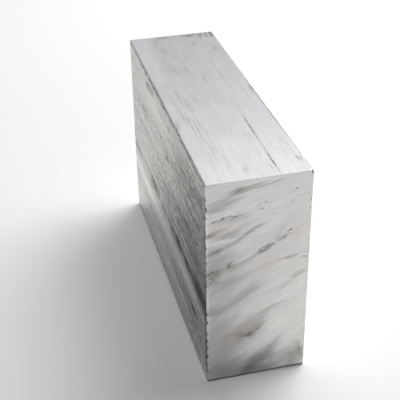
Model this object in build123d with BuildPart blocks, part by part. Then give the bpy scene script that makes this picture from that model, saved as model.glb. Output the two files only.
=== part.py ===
"""A block of aluminium flat bar: extruded stock, sawn to length, standing on one of its narrow sides."""

import os

from build123d import *

# Driving dimensions, in millimetres. X is the bar's thickness, Y its length, and Z its width, set upright.
BAR_THICKNESS = 40.0
BAR_WIDTH = 90.0
BLOCK_LENGTH = 140.0

# The extrusion die leaves its own small radius on the four long edges.
CORNER_RADIUS = 0.6

# The saw leaves a burr round each end, and a file has broken it to a narrow bevel.
END_BEVEL = 0.3

# A knock has taken a flat chip off the near top corner. It reaches this far along each of the three edges.
CHIP_ALONG_THICKNESS = 1.1
CHIP_ALONG_LENGTH = 1.4
CHIP_ALONG_WIDTH = 1.7

# The block sits on Z = 0 with its middle over the origin, and its near end faces -Y.
NEAR_TOP_CORNER = Vector(BAR_THICKNESS / 2, -BLOCK_LENGTH / 2, BAR_WIDTH)


def chip_face():
    """The plane of the chipped corner, facing outwards."""
    outwards = Vector(1 / CHIP_ALONG_THICKNESS, -1 / CHIP_ALONG_LENGTH, 1 / CHIP_ALONG_WIDTH)
    on_top_edge = NEAR_TOP_CORNER - Vector(CHIP_ALONG_THICKNESS, 0, 0)
    return Plane(origin=on_top_edge, z_dir=outwards)


with BuildPart() as aluminium_block:
    # The bar's section, as the die leaves it.
    with BuildSketch(Plane.XZ):
        with Locations((0, BAR_WIDTH / 2)):
            RectangleRounded(BAR_THICKNESS, BAR_WIDTH, CORNER_RADIUS)
    extrude(amount=BLOCK_LENGTH / 2, both=True)

    # The two sawn ends, with their burrs filed off.
    sawn_ends = aluminium_block.faces().filter_by(Axis.Y)
    chamfer(sawn_ends.edges(), END_BEVEL)

    # The chipped corner.
    split(bisect_by=chip_face(), keep=Keep.BOTTOM)

aluminium_block.part.label = "aluminium_block"

os.makedirs("parts", exist_ok=True)
export_step(aluminium_block.part, "parts/aluminium_block.step")
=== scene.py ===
"""The looks of the aluminium block: its surface as a mesh, its finishes, and the studio it stands in."""

from math import radians

import bpy
import numpy as np
from mathutils import Matrix, Vector


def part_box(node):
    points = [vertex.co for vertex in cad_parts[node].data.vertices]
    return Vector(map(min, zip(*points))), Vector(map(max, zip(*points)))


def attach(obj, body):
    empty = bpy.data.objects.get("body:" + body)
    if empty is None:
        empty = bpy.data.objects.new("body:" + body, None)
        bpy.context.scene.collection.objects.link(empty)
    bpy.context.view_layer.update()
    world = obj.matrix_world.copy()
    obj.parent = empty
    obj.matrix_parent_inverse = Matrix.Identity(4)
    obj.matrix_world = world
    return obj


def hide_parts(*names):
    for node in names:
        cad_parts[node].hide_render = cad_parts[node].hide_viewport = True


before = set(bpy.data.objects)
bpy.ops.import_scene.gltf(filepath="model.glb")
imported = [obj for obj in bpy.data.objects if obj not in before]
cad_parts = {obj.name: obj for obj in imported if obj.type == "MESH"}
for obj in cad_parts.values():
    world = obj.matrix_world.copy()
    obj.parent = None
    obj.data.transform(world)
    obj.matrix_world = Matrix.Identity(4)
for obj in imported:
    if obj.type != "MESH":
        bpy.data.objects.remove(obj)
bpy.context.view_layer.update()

# Sizes are in millimetres, and MM turns them into the frame's metres.
MM = 0.001
block_low, block_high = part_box("aluminium_block")
THICKNESS, LENGTH, WIDTH = (block_high - block_low) / MM

# The die's radius on the long edges, and the filed bevel round the sawn ends.
CORNER_RADIUS = 0.6
END_BEVEL = 0.3

# How far the chip at the near top corner reaches along the thickness, the length and the width.
CHIP_REACH = (1.1, 1.4, 1.7)

# Mesh lines: first the ones close to an edge, as distances from it, then how many are spread evenly between.
SECTION_EDGE_LINES = (0.0, END_BEVEL, CORNER_RADIUS)
LENGTH_EDGE_LINES = (0.0, 0.4, 0.9)
LINES_OVER_THICKNESS = 68
LINES_OVER_LENGTH = 140
LINES_OVER_WIDTH = 154

# Faces that meet at more than this many degrees meet in a sharp edge.
SHARP_ANGLE = 32

# The die's relief on a long side, from slow waves to fine lines: the depth of each layer, and the size of its
# bumps across and along the bar. It is shallower on the narrow sides than on the wide ones.
DRAWN_RELIEF = ((0.014, 7.0, 160.0), (0.005, 1.7, 45.0), (0.003, 0.8, 14.0))
NARROW_SIDE_SHARE = 0.2

# The saw's teeth swung on this radius, about a centre below the floor.
SAW_RADIUS = 396.0
SAW_CENTRE_HEIGHT = -295.0

# The saw's relief on an end, from broad smears to fine lines: the depth of each layer, and the size of its
# bumps across the arcs and up the end.
SAWN_RELIEF = ((0.040, 9.0, 7.0), (0.012, 3.4, 4.5), (0.004, 1.4, 3.0))

# How far the arcs waver from side to side, and the size of the wavers across the arcs and up the end.
ARC_WAVER = 3.0
WAVER_SIZE = (14.0, 7.0)

# Relief begins and is full at these distances from the edges of its side.
RELIEF_FADE = (0.3, 1.6)

# How deep the even wear is on the edges that run along the thickness, the length and the width, and how far
# the wear and the knocks reach in from those edges.
EDGE_WEAR = (0.0, 0.02, 0.05)
WEAR_REACH = (0.5, 0.9, 1.3)

# The length of the slow and the quick ripples of the wear, and the row of noise that the quick ones follow.
SLOW_RIPPLE = 2.6
QUICK_RIPPLE = 1.1
QUICK_RIPPLE_ROW = 9.0

# A nick runs out at this share of its length to either side of its middle.
NICK_TAPER = 0.6

# Each nick: how far along its edge it is, its length and its depth. The key gives the edge: for each axis
# 0 is the low side, 1 the high side, and None the axis along which the edge runs.
NICKS = {
    (0, 0, None): (
        (84.0, 2.2, 0.24), (80.0, 2.8, 0.32), (76.5, 1.8, 0.26), (70.5, 1.4, 0.20), (63.5, 3.4, 0.20),
        (57.0, 1.6, 0.28), (46.5, 2.4, 0.22), (44.0, 1.2, 0.24), (33.5, 2.4, 0.24), (29.5, 2.8, 0.32),
        (24.0, 2.0, 0.26), (20.5, 2.4, 0.34), (17.0, 2.2, 0.30), (13.0, 2.8, 0.34), (8.5, 2.0, 0.24),
        (5.5, 2.4, 0.30),
    ),
    (1, 0, None): (
        (78.4, 3.0, 0.36), (75.0, 2.4, 0.40), (61.0, 3.0, 0.38), (52.5, 2.2, 0.30), (50.0, 2.2, 0.24),
        (44.0, 1.6, 0.20), (41.0, 2.4, 0.30), (33.0, 1.4, 0.14), (24.0, 2.0, 0.18), (15.0, 1.6, 0.12),
    ),
    (1, None, 1): (
        (136.0, 7.0, 0.20), (120.0, 2.0, 0.12), (76.0, 2.0, 0.14), (69.5, 2.6, 0.18), (63.0, 1.8, 0.14),
        (50.0, 2.0, 0.10), (31.0, 2.0, 0.14), (11.0, 3.0, 0.20),
    ),
    (0, None, 1): (
        (130.0, 3.0, 0.10), (104.0, 2.5, 0.15), (84.0, 3.0, 0.15), (44.5, 4.0, 0.30), (39.5, 3.0, 0.25),
        (20.0, 2.0, 0.15),
    ),
    (None, 1, 1): ((15.0, 4.0, 0.08), (28.0, 6.0, 0.10), (36.5, 3.0, 0.14)),
    (None, 0, 0): ((6.0, 3.0, 0.20), (17.0, 2.0, 0.20), (31.0, 3.0, 0.25)),
    (1, 1, None): ((81.0, 2.4, 0.30), (58.0, 3.0, 0.35), (34.0, 2.0, 0.30), (12.0, 2.6, 0.35)),
    (0, 1, None): ((72.0, 2.4, 0.30), (49.0, 2.0, 0.35), (27.0, 3.0, 0.30)),
}


def smoothstep(low, high, value):
    """0 below low and 1 above high, with a smooth rise between."""
    share = np.clip((value - low) / (high - low), 0, 1)
    return share * share * (3 - 2 * share)


def smooth_noise(across, along, seed):
    """Smooth noise from -1 to 1, with about one bump to each unit square."""
    size = 256
    table = np.random.default_rng(seed).uniform(-1, 1, (size, size))
    i, j = np.floor(across).astype(int), np.floor(along).astype(int)
    s, t = smoothstep(0, 1, across - i), smoothstep(0, 1, along - j)
    near = table[i % size, j % size] * (1 - t) + table[i % size, (j + 1) % size] * t
    far = table[(i + 1) % size, j % size] * (1 - t) + table[(i + 1) % size, (j + 1) % size] * t
    return near * (1 - s) + far * s


# The mesh: a lattice over the box, drawn on to the bar's rounded section


def mesh_lines(span, edge_lines, count):
    """Where the mesh lines lie across a span: close together by both edges, then even."""
    edge = np.array(edge_lines)
    even = np.linspace(edge[-1], span - edge[-1], count)
    return np.concatenate([edge[:-1], even, (span - edge[:-1])[::-1]])


def side_quads(counts, axis, at_end):
    """The corners of every quad on one side of the lattice, as whole numbers, turned to face outwards."""
    first, second = ((1, 2), (2, 0), (0, 1))[axis]
    i, j = np.meshgrid(np.arange(counts[first]), np.arange(counts[second]), indexing="ij")
    corners = []
    for step_i, step_j in ((0, 0), (1, 0), (1, 1), (0, 1)):
        place = np.zeros((i.size, 3), int)
        place[:, axis] = counts[axis] if at_end else 0
        place[:, first] = i.ravel() + step_i
        place[:, second] = j.ravel() + step_j
        corners.append(place)
    return np.stack(corners if at_end else corners[::-1], axis=1)


def on_section(flat):
    """Lattice points moved on to the rounded section of the bar and the bevels of its ends."""
    point = flat.copy()
    middle = np.array([THICKNESS / 2, WIDTH / 2])
    from_middle = flat[:, [0, 2]] - middle
    past_centre = np.abs(from_middle) - (middle - CORNER_RADIUS)
    corner = (past_centre > 0).all(axis=1)
    past = past_centre[corner]
    past *= (past.max(axis=1) / np.hypot(past[:, 0], past[:, 1]))[:, None]
    point[np.ix_(corner, [0, 2])] = middle + np.sign(from_middle[corner]) * (middle - CORNER_RADIUS + past)
    inset = edge_distance(flat, (0, 2))
    bevel = np.maximum(0, END_BEVEL - inset)
    point[:, 1] += np.where(flat[:, 1] == 0, bevel, 0) - np.where(flat[:, 1] == LENGTH, bevel, 0)
    return point


def edge_distance(flat, axes):
    """How far lattice points are from the nearest edge, along the given axes."""
    spans = np.array([THICKNESS, LENGTH, WIDTH])[list(axes)]
    place = flat[:, list(axes)]
    return np.minimum(place, spans - place).min(axis=1)


def layered_relief(across, along, layers, seed):
    """Depth of a relief that is made of layers, each with its depth and the size of its bumps."""
    total = 0.0
    for step, (depth, size_across, size_along) in enumerate(layers):
        total = total + depth * (1 + smooth_noise(across / size_across, along / size_along, seed + step))
    return total


def sawn_relief(across, height, seed):
    """Depth of the saw's marks on an end: smears along arcs that all have the blade's radius."""
    rise = height - SAW_CENTRE_HEIGHT
    arc = across + np.sqrt(SAW_RADIUS**2 - rise**2)
    waver = smooth_noise(arc / WAVER_SIZE[0], height / WAVER_SIZE[1], seed + len(SAWN_RELIEF))
    return layered_relief(arc + ARC_WAVER * waver, height, SAWN_RELIEF, seed)


def with_relief(point, flat):
    """The points with the die's lines and the saw's marks pressed into each side."""
    x, y, z = flat.T
    spans = (THICKNESS, LENGTH, WIDTH)
    moved = point.copy()
    for axis in range(3):
        others = [a for a in range(3) if a != axis]
        fade = smoothstep(*RELIEF_FADE, edge_distance(flat, others))
        for at_end in (False, True):
            here = flat[:, axis] == (spans[axis] if at_end else 0)
            seed = 10 * axis + 5 * at_end
            if axis == 0:
                depth = layered_relief(z[here], y[here], DRAWN_RELIEF, seed)
            elif axis == 1:
                depth = sawn_relief(x[here], z[here], seed)
            else:
                depth = NARROW_SIDE_SHARE * layered_relief(x[here], y[here], DRAWN_RELIEF, seed)
            moved[here, axis] += (-1 if at_end else 1) * fade[here] * depth
    return moved


def with_worn_edges(point, flat):
    """The points with the edges worn and the nicks knocked in, and how deep in a nick each point is."""
    spans = np.array([THICKNESS, LENGTH, WIDTH])
    moved = point.copy()
    nicked = np.zeros(len(point))
    for run in range(3):
        for ends in ((0, 0), (0, 1), (1, 0), (1, 1)):
            sides = [axis for axis in range(3) if axis != run]
            edge = [None, None, None]
            edge[sides[0]], edge[sides[1]] = ends
            inwards = np.zeros(3)
            inwards[sides] = [-1 if end else 1 for end in ends]
            from_sides = np.abs(flat[:, sides] - spans[sides] * ends)
            near = (from_sides.min(axis=1) == 0) & (from_sides.max(axis=1) < WEAR_REACH[run])
            along = flat[near, run]
            seed = 100 + 10 * run + 2 * ends[0] + ends[1]
            wear = 1 + smooth_noise(along / SLOW_RIPPLE, np.zeros_like(along), seed)
            quick = smooth_noise(along / QUICK_RIPPLE, np.full_like(along, QUICK_RIPPLE_ROW), seed)
            wear += np.maximum(0, quick)
            nick = np.zeros_like(along)
            for middle, length, deep in NICKS.get(tuple(edge), ()):
                nick += deep * smoothstep(0, 1, 1 - np.abs(along - middle) / (NICK_TAPER * length))
            fade = (1 - from_sides[near].max(axis=1) / WEAR_REACH[run]) ** 2
            moved[near] += np.outer((EDGE_WEAR[run] * wear + nick) * fade, inwards)
            nicked[near] += nick * fade
    return moved, nicked


def with_chip(point):
    """The points with the chip taken off the near top corner."""
    corner = np.array([THICKNESS, 0, WIDTH])
    outwards = np.array([1, -1, 1]) / np.array(CHIP_REACH)
    past = (point - corner) @ outwards + 1
    return point - np.outer(np.maximum(past, 0), outwards / (outwards @ outwards))


def block_mesh():
    """The whole surface of the block as one closed mesh, with its finishes and its map for textures."""
    lines = [
        mesh_lines(THICKNESS, SECTION_EDGE_LINES, LINES_OVER_THICKNESS),
        mesh_lines(LENGTH, LENGTH_EDGE_LINES, LINES_OVER_LENGTH),
        mesh_lines(WIDTH, SECTION_EDGE_LINES, LINES_OVER_WIDTH),
    ]
    counts = [len(line) - 1 for line in lines]
    sides = [(axis, at_end) for axis in range(3) for at_end in (False, True)]
    quads = [side_quads(counts, axis, at_end) for axis, at_end in sides]
    owner = np.concatenate([np.full(len(q), s) for s, q in enumerate(quads)])
    corners = np.concatenate(quads)
    keys = np.ravel_multi_index(corners.reshape(-1, 3).T, [c + 1 for c in counts])
    used, index = np.unique(keys, return_inverse=True)
    place = np.unravel_index(used, [c + 1 for c in counts])
    flat = np.stack([line[p] for line, p in zip(lines, place)], axis=1)
    worn, nicked = with_worn_edges(with_relief(on_section(flat), flat), flat)
    point = with_chip(worn) - np.array([THICKNESS / 2, LENGTH / 2, 0])

    mesh = bpy.data.meshes.new("block")
    mesh.from_pydata(point * MM, [], index.reshape(-1, 4))
    mesh.polygons.foreach_set("material_index", (owner // 2).astype(np.int32))
    mesh.attributes.new("nick", "FLOAT", "POINT").data.foreach_set("value", nicked.astype(np.float32))
    mesh.shade_smooth()
    mesh.set_sharp_from_angle(angle=radians(SHARP_ANGLE))
    add_texture_map(mesh, flat[index], np.repeat(owner, 4))
    mesh.validate()
    return mesh


def add_texture_map(mesh, flat, owner):
    """Lays the six sides out flat beside each other on one square."""
    gap = 2.0
    sheet = LENGTH + WIDTH + 3 * gap
    # For each side: the axes that run across and up the sheet, and where its corner lies.
    layout = [
        (1, 2, gap, gap),
        (1, 2, gap, WIDTH + 2 * gap),
        (2, 0, LENGTH + 2 * gap, LENGTH + 2 * gap),
        (2, 0, LENGTH + 2 * gap, LENGTH + THICKNESS + 3 * gap),
        (0, 1, LENGTH + 2 * gap, gap),
        (0, 1, LENGTH + THICKNESS + 3 * gap, gap),
    ]
    across = np.array([row[0] for row in layout])[owner]
    up = np.array([row[1] for row in layout])[owner]
    corner = np.array([row[2:] for row in layout])[owner]
    rows = np.arange(len(owner))
    uv = (np.stack([flat[rows, across], flat[rows, up]], axis=1) + corner) / sheet
    texture_map = mesh.uv_layers.new(name="OFBake")
    texture_map.data.foreach_set("uv", uv.astype(np.float32).ravel())


# Materials

# The level about which a noise swings.
NOISE_MIDDLE = 0.5

# A mark fades out over this share of the way from its rim to its middle.
MARK_FADE = 0.8

# Marks reach this far in from their face, well past its relief and its rounded edges.
MARK_DEPTH = 8.0


class Graph:
    """The nodes of one material or world, made so that a formula reads as one."""

    def __init__(self, tree):
        self.tree = tree
        tree.nodes.clear()

    def node(self, kind, inputs=(), **settings):
        """A new node. Each input is a number, a vector or another node's output."""
        made = self.tree.nodes.new(kind)
        for name, value in settings.items():
            setattr(made, name, value)
        for name, value in dict(inputs).items():
            self.feed(made.inputs[name], value)
        return made

    def feed(self, socket, value):
        if isinstance(value, bpy.types.NodeSocket):
            self.tree.links.new(value, socket)
        else:
            socket.default_value = value

    def math(self, operation, *values, clamp=False):
        made = self.node("ShaderNodeMath", enumerate(values), operation=operation, use_clamp=clamp)
        return made.outputs[0]

    def vector(self, operation, *values):
        return self.node("ShaderNodeVectorMath", enumerate(values), operation=operation).outputs[0]

    def split(self, vector):
        return self.node("ShaderNodeSeparateXYZ", {0: vector}).outputs

    def join(self, x, y, z):
        return self.node("ShaderNodeCombineXYZ", {0: x, 1: y, 2: z}).outputs[0]

    def ramp(self, value, low, high, start=0.0, end=1.0):
        """From start below low to end above high, with a smooth rise between."""
        inputs = {"Value": value, "From Min": low, "From Max": high, "To Min": start, "To Max": end}
        return self.node("ShaderNodeMapRange", inputs, interpolation_type="SMOOTHSTEP").outputs[0]

    def noise(self, point, cell, detail=2.0, distortion=0.0, output="Fac"):
        """Noise from 0 to 1. The cell gives the size of its bumps along each axis."""
        inputs = {"Vector": self.vector("DIVIDE", point, cell), "Scale": 1.0, "Detail": detail}
        return self.node("ShaderNodeTexNoise", inputs | {"Distortion": distortion}).outputs[output]

    def sway(self, point, cell, reach):
        """A vector that wanders with the point, by up to about half the reach along each axis."""
        middle = (NOISE_MIDDLE, NOISE_MIDDLE, NOISE_MIDDLE)
        wander = self.vector("SUBTRACT", self.noise(point, cell, output="Color"), middle)
        return self.vector("MULTIPLY", wander, reach)

    def mix(self, share, first, second):
        """The first colour where share is 0 and the second where it is 1."""
        made = self.node("ShaderNodeMix", data_type="RGBA")
        for name, value in {"Factor": share, "A": first, "B": second}.items():
            self.feed(next(s for s in made.inputs if s.name == name and s.enabled), value)
        return next(s for s in made.outputs if s.enabled)

    def tone(self, layers):
        """About 1, varied by noises, each with how much it counts."""
        total = 1.0
        for noise, weight in layers:
            swing = self.math("SUBTRACT", noise, NOISE_MIDDLE)
            total = self.math("MULTIPLY_ADD", swing, weight, total)
        return total

    def shaded(self, colour, tone):
        return self.vector("MULTIPLY", colour, self.join(tone, tone, tone))

    def marks(self, point, marks):
        """The sum of soft oval marks, each as strong as it says over its middle part."""
        total = 0.0
        for across, up, length, width, turn, strength in marks:
            inputs = {
                "Vector": point,
                "Location": (across, up, 0),
                "Rotation": (0, 0, radians(turn)),
                "Scale": (length / 2, width / 2, MARK_DEPTH),
            }
            oval = self.node("ShaderNodeMapping", inputs, vector_type="TEXTURE").outputs[0]
            spot = self.node("ShaderNodeTexGradient", {0: oval}, gradient_type="SPHERICAL").outputs["Fac"]
            total = self.math("ADD", self.ramp(spot, 0.0, MARK_FADE, 0.0, strength), total)
        return total


def new_material(name):
    material = bpy.data.materials.new(name)
    material.use_nodes = True
    return material, Graph(material.node_tree)


def place_in_mm(graph):
    """The point of the surface in millimetres, from the corner that is low on all three axes."""
    place = graph.node("ShaderNodeTexCoord").outputs["Object"]
    from_corner = graph.vector("SUBTRACT", place, tuple(block_low))
    return graph.vector("DIVIDE", from_corner, (MM, MM, MM))


def turned(graph, value, span, other_side):
    """The value, or on the other side what is left of the span, so that a pattern there is turned round."""
    return graph.math("ABSOLUTE", graph.math("SUBTRACT", graph.math("MULTIPLY", other_side, span), value))


def metal(graph, colour, slant, roughness, height, depth):
    """Bare metal with its colour face on and its tint at a low slant, and with fine relief, this deep in
    millimetres."""
    bump = graph.node("ShaderNodeBump", {"Height": height, "Distance": depth * MM, "Strength": 1.0})
    inputs = {
        "Base Color": colour,
        "Specular Tint": slant,
        "Metallic": 1.0,
        "Roughness": roughness,
        "Normal": bump.outputs[0],
    }
    shader = graph.node("ShaderNodeBsdfPrincipled", inputs)
    graph.node("ShaderNodeOutputMaterial", {"Surface": shader.outputs[0]})


# Grime and painted shade as they look from straight in front.
GRIME_AND_SHADE_COLOUR = (0.10, 0.095, 0.09, 1)

# Bare metal throws back all light that comes in at a low slant, and grime and painted shade only a little of
# it.
BARE_AT_A_SLANT = (1, 1, 1, 1)
GRIME_AND_SHADE_AT_A_SLANT = (0.15, 0.147, 0.142, 1)

# Each mark is a soft oval: where its middle is, its length, its width, its turn in degrees and its strength.
# On the wide sides the middle is given from the far end and from the floor, as on the left side.
# Stains along the bar, and broad soft ovals of painted shade that darken the side towards its near end, its
# middle and its foot.
WIDE_SIDE_STAINS_AND_SHADE = (
    (78, 37.0, 220, 12.0, 0, 0.20),
    (8, 37.4, 24, 6.5, 0, 0.46),
    (47, 37.2, 28, 8.0, 0, 0.72),
    (68, 36.4, 14, 6.5, 0, 0.20),
    (84, 36.2, 20, 8.0, 0, 0.38),
    (94.3, 36.4, 13, 8.5, 0, 1.00),
    (110, 36.0, 20, 8.5, 0, 0.56),
    (131, 35.8, 40, 13.0, 0, 0.92),
    (92, 18.0, 150, 12.0, 0, 0.20),
    (46, 18.5, 34, 9.0, 0, 0.12),
    (113, 19.0, 40, 9.0, 0, 0.20),
    (120, 20.0, 16, 5.0, -4, 0.60),
    (80, 3.0, 190, 8.0, 0, 0.10),
    (43, 84.2, 24, 6.0, 2, 0.54),
    (51, 86.6, 12, 4.0, 4, 0.24),
    (57, 76.0, 14, 4.2, 6, 0.18),
    (77, 67.3, 14, 4.2, 3, 0.35),
    (111, 56.5, 10, 4.2, 4, 0.36),
    (31, 68.5, 16, 6.0, 6, 0.20),
    (100, 72.0, 30, 4.0, 2, 0.12),
    (118, 64.0, 36, 4.0, 1, 0.14),
    (128, 78.0, 30, 5.0, 1, 0.12),
    # Painted shade: broad ovals, darker towards the near end.
    (128, 46.0, 54, 18.0, 0, 0.24),
    (62, 46.0, 70, 40.0, 0, 0.22),
    (88, 47.0, 70, 26.0, 0, 0.10),
    (95, 58.0, 100, 60.0, 0, 0.12),
    (150, 54.0, 210, 140.0, 0, 0.60),
    (110, 8.0, 110, 26.0, 0, 0.14),
    (128, 78.0, 70, 32.0, 0, 0.12),
)
# Scratches, and long dark lines at the edges: along the top, painted shade of the rounded edge with some
# grime; along the foot, painted shadow where the side meets the floor; up the near edge, grime with painted
# shade of the burr.
WIDE_SIDE_SCRATCHES_AND_EDGE_SHADE = (
    (75, 89.2, 190, 3.4, 0, 0.58),
    (75, 0.6, 190, 3.0, 0, 0.70),
    (139.7, 62.0, 66, 4.5, 90, 0.65),
    (139.5, 22.0, 54, 6.0, 90, 0.80),
    (138.8, 13.0, 20, 5.0, 90, 0.40),
    (112, 21.5, 56, 1.7, 0, 0.55),
    (122, 14.0, 46, 1.7, 0.3, 0.60),
    (105, 9.0, 70, 1.4, -0.2, 0.45),
    (126, 25.0, 30, 1.2, 0, 0.50),
    (122, 5.0, 40, 1.5, 0.2, 0.55),
    (92, 16.0, 44, 1.4, 0, 0.45),
    (64, 20.5, 40, 1.4, 0, 0.40),
    (90, 61.0, 30, 0.9, 0.5, 0.20),
    (104, 68.0, 26, 0.8, -0.5, 0.22),
    (118, 71.5, 22, 0.8, 0.5, 0.22),
    (112, 75.0, 24, 0.7, 0, 0.20),
    (122, 58.5, 24, 0.9, 0, 0.22),
    (96, 80.5, 22, 0.8, 0.5, 0.20),
    (66, 72.0, 20, 0.8, -1, 0.20),
    (38, 58.0, 34, 0.6, 4, 0.18),
    (30, 12.0, 26, 0.6, -7, 0.20),
    (62, 48.0, 18, 0.6, 12, 0.18),
)
# Bright bands along the wide sides: partly bare metal, partly painted highlight.
WIDE_SIDE_BARE_BANDS_AND_HIGHLIGHTS = (
    (16, 28.0, 90, 11.0, 0, 0.48),
    (80, 28.0, 100, 9.0, 0, 0.30),
    (116, 27.6, 70, 6.5, 0, 0.46),
    (40, 80.0, 130, 18.0, 0, 0.16),
    (68, 80.0, 110, 4.0, 0, 0.24),
    (6, 8.0, 50, 24.0, 0, 0.16),
    (118, 17.8, 50, 2.0, 0, 0.28),
    (108, 11.6, 60, 2.0, 0, 0.24),
    (122, 7.0, 40, 1.6, 0, 0.22),
)

# On the narrow sides the middle is given from the far end and from the left edge.
NARROW_SIDE_SMUDGES = (
    (141, 29.0, 56, 50.0, 0, 0.08),
    (40.5, 12.0, 5, 8.0, 0, 0.22),
    (44.5, 12.5, 4, 6.0, 0, 0.22),
    (43, 17.6, 9, 2.2, 0, 0.22),
    (77, 9.5, 18, 5.0, 0, 0.16),
    (72, 14.0, 14, 4.0, 0, 0.14),
    (115, 10.0, 9, 4.5, 0, 0.18),
    (133, 16.8, 8, 3.5, 0, 0.22),
    (129.5, 38.0, 6, 3.0, 0, 0.45),
    (13, 28.0, 8, 4.5, 0, 0.20),
    (21, 36.0, 6, 3.0, 0, 0.20),
    (54, 22.5, 13, 2.2, 0, 0.16),
    (18, 12.5, 12, 5.0, 0, 0.13),
    (8, 10.5, 12, 3.0, 0, 0.18),
    (2.4, 15.0, 6, 8.0, 0, 0.42),
    (1.8, 28.0, 5, 11.0, 0, 0.55),
    (3.0, 33.4, 6, 4.0, 0, 0.40),
    (3, 36.0, 9, 1.8, 0, 0.60),
    (4, 38.6, 12, 2.2, 0, 0.80),
    (93, 1.5, 12, 2.6, 0, 0.35),
    (68, 38.6, 16, 2.6, 0, 0.30),
)
NARROW_SIDE_SCRATCHES_AND_EDGE_SHADE = (
    (112, 28.0, 70, 0.9, 0, 0.25),
    (101, 28.2, 26, 1.3, -0.4, 0.45),
    (129, 27.9, 26, 1.3, 0.4, 0.50),
    (132, 26.2, 14, 0.8, 1, 0.25),
    (86, 5.2, 26, 0.7, -0.5, 0.24),
    (95, 6.6, 34, 0.8, -0.8, 0.35),
    (98, 8.2, 28, 0.8, -0.8, 0.35),
    (91, 9.6, 28, 0.7, -0.8, 0.28),
    (102, 10.8, 28, 0.7, -0.8, 0.24),
    (114, 8.8, 36, 0.7, -0.6, 0.24),
    (125, 6.8, 26, 0.7, -0.6, 0.22),
    (126, 20.4, 24, 0.6, -0.5, 0.18),
    (84, 18.2, 34, 0.6, -0.4, 0.18),
    (70, 24.0, 40, 0.6, 0.4, 0.16),
    (68, 7.4, 28, 1.0, 0, 0.25),
    (107, 24.6, 12, 0.9, 3, 0.30),
    (109, 26.0, 10, 0.8, 4, 0.25),
    (113, 36.0, 12, 0.7, 12, 0.25),
    (115, 34.6, 9, 0.6, 14, 0.20),
    (124, 12.0, 22, 0.7, -1, 0.20),
    (50, 30.5, 26, 0.7, 0.6, 0.16),
    (30, 20.5, 30, 0.7, -0.4, 0.14),
    # A dark line along the right edge of the top: painted shade of the rounded edge, with some grime.
    (88, 39.7, 130, 1.8, 0, 0.42),
)
# Bright marks on the narrow sides, partly painted highlight, as along the left edge and at the far end of the
# top.
NARROW_SIDE_BRIGHT_MARKS_AND_HIGHLIGHTS = (
    (10, 3.0, 130, 16.0, 0, 0.16),
    (0, 20.0, 60, 60.0, 0, 0.02),
    (132, 30.5, 30, 4.0, 0, 0.06),
    (37, 16.6, 10, 1.2, -4, 0.12),
    (39, 13.8, 7, 1.0, -8, 0.12),
    (62, 10.2, 7, 1.4, 0, 0.10),
    (70, 16.5, 9, 1.0, -6, 0.08),
    (126, 25.6, 8, 1.0, -3, 0.10),
    (58, 37.6, 8, 1.6, 0, 0.10),
    (43, 37.8, 10, 1.4, 4, 0.10),
    (84, 8.4, 5, 1.2, 0, 0.12),
    (110, 36.6, 9, 0.8, -12, 0.12),
)

# On the sawn ends the middle is given from the left edge and from the top, and the turn rises to the right.
# Dark smears, with painted shade on their relief, and broad soft ovals of painted shade towards the left, the
# lower part and the foot of the end.
SAWN_SMEARS_AND_SHADE = (
    (13.5, 3.6, 14, 5.0, 10, 0.55),
    (10.5, 4.6, 12, 4.0, 22, 0.30),
    (21.5, 2.6, 13, 2.4, 8, 0.45),
    (27.0, 1.6, 7, 2.2, 20, 0.25),
    (5.5, 8.8, 22, 7.0, 15, 0.42),
    (2.0, 11.0, 12, 3.4, 8, 0.20),
    (8.5, 15.4, 22, 4.6, 6, 0.26),
    (4.0, 19.9, 16, 4.2, 18, 0.42),
    (8.0, 22.2, 16, 3.6, 10, 0.42),
    (1.5, 21.4, 10, 4.0, 10, 0.35),
    (15.5, 18.0, 15, 3.6, 20, 0.25),
    (3.0, 28.4, 11, 4.6, 12, 0.60),
    (9.0, 26.2, 14, 3.2, 20, 0.42),
    (14.5, 22.9, 10, 3.4, 32, 0.60),
    (19.5, 20.2, 9, 2.6, 24, 0.50),
    (2.0, 46.0, 66, 28.0, 90, 0.32),
    (16.0, 44.0, 34, 22.0, 50, 0.16),
    (5.0, 35.0, 30, 18.0, 25, 0.30),
    (2.0, 40.0, 14, 11.0, 30, 0.25),
    (9.8, 35.4, 7, 5.4, 20, 0.34),
    (15.5, 34.2, 15, 4.4, 28, 0.28),
    (9.0, 43.0, 26, 8.0, 30, 0.22),
    (22.5, 30.2, 13, 3.8, 30, 0.45),
    (28.0, 25.5, 11, 7.0, 50, 0.24),
    (29.5, 26.4, 7, 2.6, 30, 0.30),
    (31.5, 35.3, 12, 2.4, 3, 0.35),
    (37.0, 43.4, 12, 3.0, 24, 0.40),
    (32.0, 48.0, 16, 2.6, 36, 0.20),
    (14.0, 50.5, 26, 7.0, 38, 0.36),
    (3.5, 55.5, 12, 7.0, 20, 0.40),
    (26.0, 57.8, 18, 4.0, 27, 0.42),
    (19.0, 67.2, 13, 5.0, 36, 0.34),
    (15.5, 69.2, 9, 3.8, 12, 0.26),
    (18.0, 70.4, 6, 4.0, 20, 0.10),
    (17.0, 66.5, 26, 15.0, 60, 0.44),
    (10.5, 70.5, 22, 12.0, 60, 0.30),
    (4.0, 70.0, 44, 18.0, 70, 0.35),
    (7.0, 82.0, 28, 16.0, 50, 0.32),
    (18.0, 84.0, 60, 15.0, 10, 0.38),
    (21.0, 82.0, 24, 9.0, 40, 0.50),
    (19.0, 87.4, 30, 6.0, 4, 0.35),
    (27.0, 75.5, 12, 4.2, 40, 0.30),
    (36.0, 84.5, 15, 13.0, 30, 0.56),
    (37.0, 80.0, 16, 4.0, -60, 0.22),
    (20.0, 90.0, 70, 24.0, 4, 0.12),
    (39.0, 76.0, 30, 9.0, 90, 0.12),
)
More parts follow.
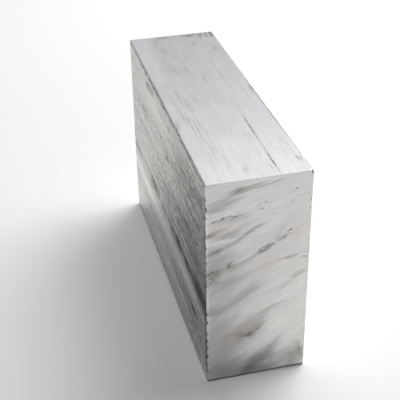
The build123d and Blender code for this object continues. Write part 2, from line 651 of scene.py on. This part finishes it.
SAWN_RUFFLES = (
    (8.0, 14.6, 16, 5.0, 8, 0.9),
    (22.8, 29.6, 12, 5.0, 33, 1.0),
    (30.5, 24.8, 9, 7.0, 40, 0.6),
    (9.8, 35.3, 6, 6.0, 0, 0.5),
    (2.5, 40.0, 9, 10.0, 30, 0.6),
    (22.0, 11.2, 8, 7.0, 10, 0.6),
    (31.5, 35.3, 11, 3.4, 3, 0.6),
    (18.5, 68.0, 11, 6.0, 34, 0.6),
    (33.2, 72.8, 5, 3.6, 10, 0.6),
    (32.5, 8.5, 7, 12.0, 0, 0.4),
    (14.0, 3.4, 18, 5.0, 10, 0.4),
    (38.0, 34.0, 20, 4.0, 90, 0.4),
)
SAWN_TEARS = (
    (3.0, 15.6, 4.5, 1.3, 20, 0.7),
    (6.2, 14.7, 3.2, 1.5, 35, 0.9),
    (8.5, 13.9, 4.0, 1.0, 10, 0.6),
    (11.0, 14.4, 4.0, 1.5, 15, 0.8),
    (13.5, 14.2, 3.0, 1.1, -10, 0.6),
    (9.5, 15.8, 3.5, 1.1, 15, 0.6),
    (12.0, 12.4, 5.5, 1.0, 5, 0.5),
    (14.8, 15.4, 4.5, 1.0, 20, 0.4),
    (22.4, 9.7, 2.6, 1.0, 12, 0.7),
    (21.0, 12.6, 4.2, 1.0, 8, 0.6),
    (25.6, 15.3, 2.4, 1.2, 10, 0.4),
    (33.7, 6.2, 1.4, 1.8, 0, 0.9),
    (32.2, 11.6, 3.0, 0.8, 25, 0.35),
    (30.8, 12.8, 1.0, 1.0, 0, 0.5),
    (21.0, 31.3, 4.6, 1.4, 28, 0.7),
    (23.6, 29.8, 4.6, 1.5, 35, 0.9),
    (25.5, 28.6, 3.0, 1.2, 30, 0.6),
    (20.2, 30.1, 3.0, 0.8, 20, 0.5),
    (22.6, 28.7, 3.0, 0.8, 45, 0.6),
    (24.5, 27.6, 2.0, 0.7, 30, 0.5),
    (32.0, 23.6, 2.8, 1.1, 28, 1.0),
    (29.4, 22.3, 2.6, 0.9, 15, 0.5),
    (29.8, 26.3, 3.2, 1.1, 32, 0.6),
    (28.2, 27.6, 2.0, 0.8, 30, 0.4),
    (8.2, 36.0, 1.6, 3.6, -5, 0.42),
    (10.2, 33.6, 4.0, 1.3, 18, 0.42),
    (12.2, 34.8, 2.0, 1.2, -35, 0.30),
    (2.0, 37.4, 4.0, 0.9, 28, 0.6),
    (3.6, 38.3, 3.0, 0.8, 25, 0.5),
    (1.5, 40.0, 3.5, 0.7, 10, 0.5),
    (3.0, 40.9, 3.0, 0.7, 35, 0.5),
    (1.5, 42.8, 4.0, 0.8, 38, 0.5),
    (4.2, 36.8, 2.2, 0.8, 30, 0.4),
    (29.5, 35.7, 3.0, 1.0, 5, 0.4),
    (34.9, 35.1, 1.3, 1.0, 0, 0.7),
    (38.3, 36.3, 1.2, 1.6, 0, 0.9),
    (18.2, 69.2, 3.0, 1.4, 25, 0.16),
    (33.2, 72.8, 2.6, 1.2, 8, 0.6),
)
SAWN_BLUSHES = (
    (35.0, 24.6, 9, 8, 20, 0.7),
    (23.6, 37.5, 15, 11, 20, 0.7),
    (7.0, 19.0, 20, 8, 16, 0.7),
    (13.0, 68.0, 22, 14, 40, 0.7),
    (19.0, 4.0, 18, 6, 12, 0.6),
    (30.0, 3.5, 16, 6, 10, 0.6),
    (5.0, 11.0, 12, 4, 12, 0.4),
)
# Painted highlights: the light line on the bevel of the left edge, the burr along the right edge, the lit
# sides of the smears and the bright zone near the top.
SAWN_HIGHLIGHTS = (
    (0.5, 40.0, 96, 1.4, 90, 1.20),
    (38.0, 40.0, 100, 7.0, 90, 0.22),
    (24.0, 6.0, 64, 34.0, 10, 0.30),
    (5.0, 24.4, 12, 2.0, 14, 0.70),
    (6.0, 13.6, 9, 1.0, 16, 0.70),
    (22.0, 28.6, 8, 1.0, 38, 0.60),
    (10.5, 32.8, 3, 1.2, 20, 0.50),
    (7.0, 45.8, 14, 3.0, 30, 0.25),
    (33.0, 52.0, 18, 10.0, 32, 0.30),
    (25.0, 20.0, 18, 8.0, 24, 0.25),
    (6.0, 58.6, 9, 2.0, 45, 0.35),
    (29.0, 66.0, 20, 8.0, 40, 0.30),
    (28.5, 79.0, 9, 5.0, 30, 0.40),
    (29.5, 73.3, 4, 1.2, 30, 0.40),
    (16.0, 72.5, 4, 3.0, 45, 0.35),
    (32.0, 87.4, 10, 1.0, 4, 0.50),
)

# The chip's plane is at -1 on its scale. Its shade begins and is full at these levels, just short of that.
CHIP_SHADE_LEVELS = (-1.15, -1.02)

# The depths at which the shade of a nick begins and is full, and how strong it is then.
NICK_SHADE_DEPTHS = (0.05, 0.26)
NICK_SHADE = 0.85


def chip_shade(graph, place):
    """1 on the chip at the near top corner and 0 elsewhere."""
    outwards = (1 / CHIP_REACH[0], -1 / CHIP_REACH[1], 1 / CHIP_REACH[2])
    from_corner = graph.vector("SUBTRACT", place, (THICKNESS, 0, WIDTH))
    inputs = {0: from_corner, 1: outwards}
    past = graph.node("ShaderNodeVectorMath", inputs, operation="DOT_PRODUCT").outputs["Value"]
    return graph.ramp(past, *CHIP_SHADE_LEVELS)


def nick_shade(graph):
    """How dark the nicks of the edges are: most in the deepest ones, and 0 away from them."""
    depth = graph.node("ShaderNodeAttribute", attribute_name="nick").outputs["Fac"]
    return graph.ramp(depth, *NICK_SHADE_DEPTHS, 0.0, NICK_SHADE)


# The noises of the long sides: the size of their bumps across and along the bar, and their detail.
MILL_NOISES = {
    "cloud": (5.0, 12.0, 5.0),
    "mottle": (3.0, 16.0, 5.0),
    "band": (4.5, 240.0, 3.0),
    "streak": (1.3, 42.0, 4.0),
    "line": (0.5, 70.0, 2.0),
    "grain": (0.9, 4.0, 3.0),
    "dash": (0.6, 5.0, 1.0),
}

# How the marks of the long sides wander: the size of their bends along the bar, across it and inwards, and
# the reach of the bends.
STAIN_SWAY = ((16.0, 0.9, 5.0), (12.0, 1.8, 0))
SCRATCH_SWAY = ((9.0, 3.0, 5.0), (2.0, 0.5, 0))

# What a noise does on the long sides: the two levels of the noise, then what comes of it at each of them. The
# streaks and lines feather the stains and the painted shade, the grain breaks up the scratches and the
# painted edge shade, and the mottle varies the gloss.
STREAK_FEATHER = (0.3, 0.65, 1.2, 0.75)
LINE_FEATHER = (0.35, 0.65, 0.8, 1.2)
SCRATCH_BREAKS = (0.35, 0.6, 0.3, 1.5)
MILL_ROUGHNESS = (0.3, 0.7, 0.40, 0.36)

# The levels of their noise at which dashes begin and are full.
DASH_LEVELS = (0.58, 0.75)


def mill_finish(name, mark_place, marks, clean, weights, face_on, grit, dashes, bump_depth):
    """Two of the long sides: drawn metal with the die's lines along the bar. Its marks are stains, scratches
    and bright bands, with painted shade and painted highlights among them. The weights say how much each
    noise counts in its colour, face_on how much of the marks shows from straight in front, grit how much each
    noise counts in the grime and painted shade that show only at a slant, and dashes how strong the short
    dark dashes are."""
    stains_and_shade, scratches_and_edge_shade, gleams = marks
    material, graph = new_material(name)
    place = place_in_mm(graph)
    noise = {}
    for kind, (across, along, detail) in MILL_NOISES.items():
        noise[kind] = graph.noise(place, (across, along, across), detail)
    face = mark_place(graph, *graph.split(place))
    soft_face = graph.vector("ADD", face, graph.sway(face, *STAIN_SWAY))
    thin_face = graph.vector("ADD", face, graph.sway(face, *SCRATCH_SWAY))

    # The stains carry painted shade, the scratches painted shade along the edges, and the gleams painted
    # highlights besides bare metal.
    feather = graph.ramp(noise["streak"], *STREAK_FEATHER)
    feather = graph.math("MULTIPLY", feather, graph.ramp(noise["line"], *LINE_FEATHER))
    stain_and_shade = graph.math("MULTIPLY", graph.marks(soft_face, stains_and_shade), feather)
    broken = graph.ramp(noise["grain"], *SCRATCH_BREAKS)
    scratch_and_edge_shade = graph.math("MULTIPLY", graph.marks(thin_face, scratches_and_edge_shade), broken)
    dash = graph.ramp(noise["dash"], *DASH_LEVELS, 0.0, dashes)
    grime_and_shade = graph.math("ADD", graph.math("ADD", stain_and_shade, scratch_and_edge_shade), dash)
    shown = graph.math("MULTIPLY", grime_and_shade, face_on, clamp=True)
    gleam = graph.marks(thin_face, gleams)
    tone = graph.tone([(noise[kind], weight) for kind, weight in weights.items()])
    tone = graph.math("MULTIPLY_ADD", gleam, face_on, tone)
    dust = graph.tone([(noise[kind], weight) for kind, weight in grit.items()])
    dust = graph.math("SUBTRACT", dust, 1.0)
    slanted = graph.math("ADD", grime_and_shade, graph.math("SUBTRACT", dust, gleam), clamp=True)
    for shade in (nick_shade(graph), chip_shade(graph, place)):
        shown = graph.math("MAXIMUM", shown, shade)
        slanted = graph.math("MAXIMUM", slanted, shade)
    colour = graph.mix(shown, graph.shaded(clean, tone), GRIME_AND_SHADE_COLOUR)
    slant = graph.mix(slanted, BARE_AT_A_SLANT, GRIME_AND_SHADE_AT_A_SLANT)
    roughness = graph.ramp(noise["mottle"], *MILL_ROUGHNESS)
    metal(graph, colour, slant, roughness, noise["line"], bump_depth)
    return material


def wide_side_place(graph, x, y, z):
    """Along the bar from its far end, up from the floor, and inwards. The right side is turned half round."""
    right = graph.math("GREATER_THAN", x, THICKNESS / 2)
    along = turned(graph, graph.math("SUBTRACT", LENGTH, y), LENGTH, right)
    return graph.join(along, turned(graph, z, WIDTH, right), turned(graph, x, THICKNESS, right))


def narrow_side_place(graph, x, y, z):
    """Along the bar from its far end, across from the left, and inwards. The bottom is turned half round."""
    bottom = graph.math("LESS_THAN", z, WIDTH / 2)
    top = graph.math("SUBTRACT", 1.0, bottom)
    along = turned(graph, graph.math("SUBTRACT", LENGTH, y), LENGTH, bottom)
    return graph.join(along, turned(graph, x, THICKNESS, bottom), turned(graph, z, WIDTH, top))


# The colours of the sawn ends: clean metal, its warm patches, its painted highlights, and its dark smears
# with painted shade.
SAWN_COLOUR = (0.735, 0.730, 0.720, 1)
BLUSH_COLOUR = (0.725, 0.685, 0.67, 1)
HIGHLIGHT_COLOUR = (0.95, 0.95, 0.94, 1)
SMEAR_AND_SHADE_COLOUR = (0.20, 0.188, 0.18, 1)

# How strongly the warm patches, the painted highlights and the smears with their painted shade show.
BLUSH_SHARE = 0.9
HIGHLIGHT_SHARE = 0.8
SMEAR_AND_SHADE_SHARE = 0.8

# The noises of the sawn ends: the size of their bumps across the arcs, up the end and inwards, their detail,
# and how far they are pulled about.
SAWN_NOISES = {
    "smear": ((9.0, 6.0, 30.0), 3.0, 0.8),
    "streak": ((5.0, 6.0, 30.0), 3.0, 0.4),
    "line": ((1.6, 8.0, 30.0), 3.0, 0.0),
    "ruffle": ((2.4, 1.6, 30.0), 2.0, 1.6),
}

# How much each noise counts in the colour of the sawn ends.
SAWN_WEIGHTS = {"smear": 0.15, "streak": 0.18, "line": 0.11}

# How the marks of the ends wander: streaks pull the soft marks this far across, and this share of that up.
# Soft and crisp marks then sway, with the size of their bends and the reach of the bends.
DRIFT_REACH = 8.0
DRIFT_RISE = 0.55
SOFT_SWAY = ((5.0, 3.0, 30.0), (3.0, 3.0, 0))
CRISP_SWAY = ((1.6, 1.1, 30.0), (2.6, 2.2, 0))

# The painted highlight on the lip of a tear is this far across and up from its middle, which is painted in
# shade.
TEAR_LIP = (-0.2, 0.7, 0)

# What a noise or a mark does on the ends: its two levels, then what comes of it at each of them.
# Painted light on the ends: highlights on the lips of the tears and on the ruffles, and shade in the smears,
# the ruffles and the tears.
LIP_HIGHLIGHT = (0.2, 0.8, 0.0, 0.5)
RUFFLE_HIGHLIGHT = (0.35, 0.50, 0.5, 0.0)
SMEAR_AND_SHADE_DARK = (0.48, 0.78, 0.0, 0.12)
RUFFLE_SHADE = (0.50, 0.65, 0.0, 0.50)
TEAR_SHADE = (0.08, 1.3, 0.0, 1.0)
SAWN_ROUGHNESS = (0.25, 0.75, 0.50, 0.40)

# The painted shadow along the foot of the ends, where they meet the floor: its two heights, and how strong it
# is at each of them.
FOOT_SHADOW = (0.5, 1.7, 0.9, 0.0)

# How much the fine lines count in the relief of the ends beside the tears, and how deep that relief is.
LINE_HEIGHT = 0.10
SAWN_BUMP_DEPTH = 0.08


def from_floor(marks):
    """Marks that are given from the top of an end, given from its foot instead."""
    return [(across, WIDTH - down, *rest) for across, down, *rest in marks]


def sawn_finish():
    """The two ends: the saw's curved smears, with painted shade and painted highlights. The far end has the
    near one's marks, turned upside down.
    """
    material, graph = new_material("sawn_finish")
    place = place_in_mm(graph)
    x, y, z = graph.split(place)
    far = graph.math("GREATER_THAN", y, LENGTH / 2)
    up = turned(graph, z, WIDTH, far)
    face = graph.join(x, up, turned(graph, y, LENGTH, far))
    rise = graph.math("SUBTRACT", up, SAW_CENTRE_HEIGHT)
    swing = graph.math("SQRT", graph.math("SUBTRACT", SAW_RADIUS**2, graph.math("MULTIPLY", rise, rise)))
    on_arc = graph.join(graph.math("ADD", x, swing), up, y)
    noise = {}
    for kind, (cell, detail, distortion) in SAWN_NOISES.items():
        noise[kind] = graph.noise(on_arc, cell, detail, distortion)

    pull = graph.math("SUBTRACT", noise["streak"], NOISE_MIDDLE)
    pull = graph.math("MULTIPLY", pull, DRIFT_REACH)
    drift = graph.join(pull, graph.math("MULTIPLY", pull, DRIFT_RISE), 0.0)
    wave = graph.sway(on_arc, *SOFT_SWAY)
    soft_face = graph.vector("ADD", face, graph.vector("ADD", drift, wave))
    crisp_face = graph.vector("ADD", face, graph.sway(on_arc, *CRISP_SWAY))
    lip_face = graph.vector("SUBTRACT", crisp_face, TEAR_LIP)

    # Each tear is a lip of metal, with a painted highlight along its upper side and painted shade in its
    # middle, and the metal about it is ruffled, with painted highlights and shade.
    soft = graph.marks(soft_face, from_floor(SAWN_SMEARS_AND_SHADE))
    tears = graph.marks(crisp_face, from_floor(SAWN_TEARS))
    lips = graph.marks(lip_face, from_floor(SAWN_TEARS))
    torn = graph.marks(soft_face, from_floor(SAWN_RUFFLES))
    blush = graph.marks(soft_face, from_floor(SAWN_BLUSHES))
    gleam = graph.marks(crisp_face, from_floor(SAWN_HIGHLIGHTS))
    gleam = graph.math("ADD", gleam, graph.ramp(lips, *LIP_HIGHLIGHT))
    gleam = graph.math("MULTIPLY_ADD", torn, graph.ramp(noise["ruffle"], *RUFFLE_HIGHLIGHT), gleam)
    dark = graph.math("MULTIPLY_ADD", soft, SMEAR_AND_SHADE_SHARE, graph.ramp(noise["smear"], *SMEAR_AND_SHADE_DARK))
    dark = graph.math("MULTIPLY_ADD", torn, graph.ramp(noise["ruffle"], *RUFFLE_SHADE), dark)
    dark = graph.math("ADD", dark, graph.ramp(tears, *TEAR_SHADE), clamp=True)
    grime_and_shade = graph.ramp(z, *FOOT_SHADOW)
    for shade in (nick_shade(graph), chip_shade(graph, place)):
        grime_and_shade = graph.math("MAXIMUM", grime_and_shade, shade)

    blush = graph.math("MULTIPLY", blush, BLUSH_SHARE, clamp=True)
    gleam = graph.math("MULTIPLY", gleam, HIGHLIGHT_SHARE, clamp=True)
    tone = graph.tone([(noise[kind], weight) for kind, weight in SAWN_WEIGHTS.items()])
    # Clean metal with its warm patches and painted highlights, then the smears and tears with painted shade,
    # then grime and the painted shadow at the foot.
    clean = graph.mix(gleam, graph.mix(blush, SAWN_COLOUR, BLUSH_COLOUR), HIGHLIGHT_COLOUR)
    colour = graph.mix(dark, graph.shaded(clean, tone), SMEAR_AND_SHADE_COLOUR)
    colour = graph.mix(grime_and_shade, colour, GRIME_AND_SHADE_COLOUR)
    roughness = graph.ramp(noise["streak"], *SAWN_ROUGHNESS)
    height = graph.math("MULTIPLY_ADD", noise["ruffle"], torn, tears)
    height = graph.math("MULTIPLY_ADD", noise["line"], LINE_HEIGHT, height)
    metal(graph, colour, BARE_AT_A_SLANT, roughness, height, SAWN_BUMP_DEPTH)
    return material


# The piece

block = bpy.data.objects.new("block", block_mesh())
bpy.context.scene.collection.objects.link(block)
wide_sides = mill_finish(
    "wide_sides",
    wide_side_place,
    marks=(WIDE_SIDE_STAINS_AND_SHADE, WIDE_SIDE_SCRATCHES_AND_EDGE_SHADE, WIDE_SIDE_BARE_BANDS_AND_HIGHLIGHTS),
    clean=(0.615, 0.608, 0.595),
    weights={"cloud": 0.09, "mottle": 0.09, "band": 0.24, "streak": 0.22, "line": 0.36, "grain": 0.12},
    face_on=0.4,
    grit={"line": 2.8, "streak": 2.2, "grain": 2.6, "mottle": 0.8},
    dashes=0.16,
    bump_depth=0.004,
)
narrow_sides = mill_finish(
    "narrow_sides",
    narrow_side_place,
    marks=(NARROW_SIDE_SMUDGES, NARROW_SIDE_SCRATCHES_AND_EDGE_SHADE, NARROW_SIDE_BRIGHT_MARKS_AND_HIGHLIGHTS),
    clean=(0.488, 0.489, 0.494),
    weights={"cloud": 0.14, "mottle": 0.14, "band": 0.05, "streak": 0.14, "line": 0.14, "grain": 0.18},
    face_on=0.8,
    grit={},
    dashes=0.07,
    bump_depth=0.0015,
)
for finish in (wide_sides, sawn_finish(), narrow_sides):
    block.data.materials.append(finish)
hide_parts("aluminium_block")
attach(block, "root")

# The studio, in metres

# How far the floor reaches from the block, its colour, and how much it glows to the eye and in the metal.
FLOOR_REACH = 6.0
FLOOR_COLOUR = (0.875, 0.865, 0.85, 1)
FLOOR_GLOW = 0.20

# The tent's wall as it shows: where it meets the floor, and from this share of the way up.
TENT_COLOUR = (0.955, 0.972, 1.0, 1)
TENT_FOOT = 0.82
TENT_WALL = 0.55
TENT_RISE = 0.35

# How much of the wall's brightness falls on things as light.
TENT_LIGHT = 0.05

# The floor runs over into the wall between these distances from the block.
FLOOR_CURVE = (0.4, 0.9)

# The lamps are turned towards this point, near the middle of the block.
LAMP_AIM = (0, 0, 0.05)

# The camera: its lens and sensor in millimetres, its place, and its angles in degrees.
CAMERA_LENS = 82.83
CAMERA_SENSOR = 36.0
CAMERA_PLACE = (-0.08687, -0.33385, 0.25093)
CAMERA_HEADING = -13.861
CAMERA_PITCH = 31.459
CAMERA_ROLL = -0.948


def seen_rays(graph):
    """1 for the rays of the eye, of gloss and of glass, and 0 for the light that falls on things."""
    path = graph.node("ShaderNodeLightPath").outputs
    seen = graph.math("MAXIMUM", path["Is Camera Ray"], path["Is Glossy Ray"])
    return graph.math("MAXIMUM", seen, path["Is Transmission Ray"])


def floor():
    """A pale floor, white to the eye and in the metal, which keeps the block's shadow."""
    mesh = bpy.data.meshes.new("floor")
    r = FLOOR_REACH
    mesh.from_pydata([(-r, -r, 0), (r, -r, 0), (r, r, 0), (-r, r, 0)], [], [(0, 1, 2, 3)])
    made = bpy.data.objects.new("floor", mesh)
    bpy.context.scene.collection.objects.link(made)
    material, graph = new_material("floor_paper")
    seen = seen_rays(graph)
    place = graph.node("ShaderNodeTexCoord").outputs["Object"]
    away = graph.node("ShaderNodeVectorMath", {0: place}, operation="LENGTH").outputs["Value"]
    paper = graph.node("ShaderNodeBsdfDiffuse", {"Color": FLOOR_COLOUR})
    glow = graph.node("ShaderNodeEmission", {"Strength": graph.math("MULTIPLY", seen, FLOOR_GLOW)})
    near = graph.node("ShaderNodeAddShader", {0: paper.outputs[0], 1: glow.outputs[0]})
    foot = graph.math("MULTIPLY", seen, TENT_FOOT)
    far = graph.node("ShaderNodeEmission", {"Color": TENT_COLOUR, "Strength": foot})
    curve = graph.ramp(away, *FLOOR_CURVE)
    both = graph.node("ShaderNodeMixShader", {0: curve, 1: near.outputs[0], 2: far.outputs[0]})
    graph.node("ShaderNodeOutputMaterial", {"Surface": both.outputs[0]})
    made.data.materials.append(material)


def tent():
    """The pale walls of a light tent. They show in the metal, and light the floor a little."""
    world = bpy.data.worlds.new("tent")
    world.use_nodes = True
    graph = Graph(world.node_tree)
    up = graph.split(graph.node("ShaderNodeTexCoord").outputs["Generated"])[2]
    wall = graph.ramp(up, 0.0, TENT_RISE, TENT_FOOT, TENT_WALL)
    level = graph.math("MULTIPLY", wall, graph.math("MAXIMUM", seen_rays(graph), TENT_LIGHT))
    sky = graph.node("ShaderNodeBackground", {"Color": TENT_COLOUR, "Strength": level})
    graph.node("ShaderNodeOutputWorld", {"Surface": sky.outputs[0]})
    bpy.context.scene.world = world


def lamp(name, place, size, power):
    """A square soft light at a place, turned towards the block."""
    data = bpy.data.lights.new(name, "AREA")
    data.size = size
    data.energy = power
    made = bpy.data.objects.new(name, data)
    made.location = place
    made.rotation_euler = (Vector(LAMP_AIM) - Vector(place)).to_track_quat("-Z", "Y").to_euler()
    bpy.context.scene.collection.objects.link(made)


def camera():
    """The camera of the photograph, fitted to the block's edges."""
    data = bpy.data.cameras.new("camera")
    data.sensor_width = CAMERA_SENSOR
    data.lens = CAMERA_LENS
    heading = Matrix.Rotation(radians(CAMERA_HEADING), 4, "Z")
    tilt = Matrix.Rotation(radians(90) - radians(CAMERA_PITCH), 4, "X")
    turn = heading @ tilt
    roll = Matrix.Rotation(radians(CAMERA_ROLL), 4, "Z")
    made = bpy.data.objects.new("camera", data)
    made.matrix_world = Matrix.Translation(CAMERA_PLACE) @ turn @ roll
    bpy.context.scene.collection.objects.link(made)
    bpy.context.scene.camera = made


floor()
tent()
lamp("key", place=(0.585, 0.338, 0.854), size=0.8, power=11.0)
lamp("back", place=(0.11, 0.61, 0.93), size=0.6, power=2.2)
camera()
bpy.context.scene.view_settings.view_transform = "Standard"
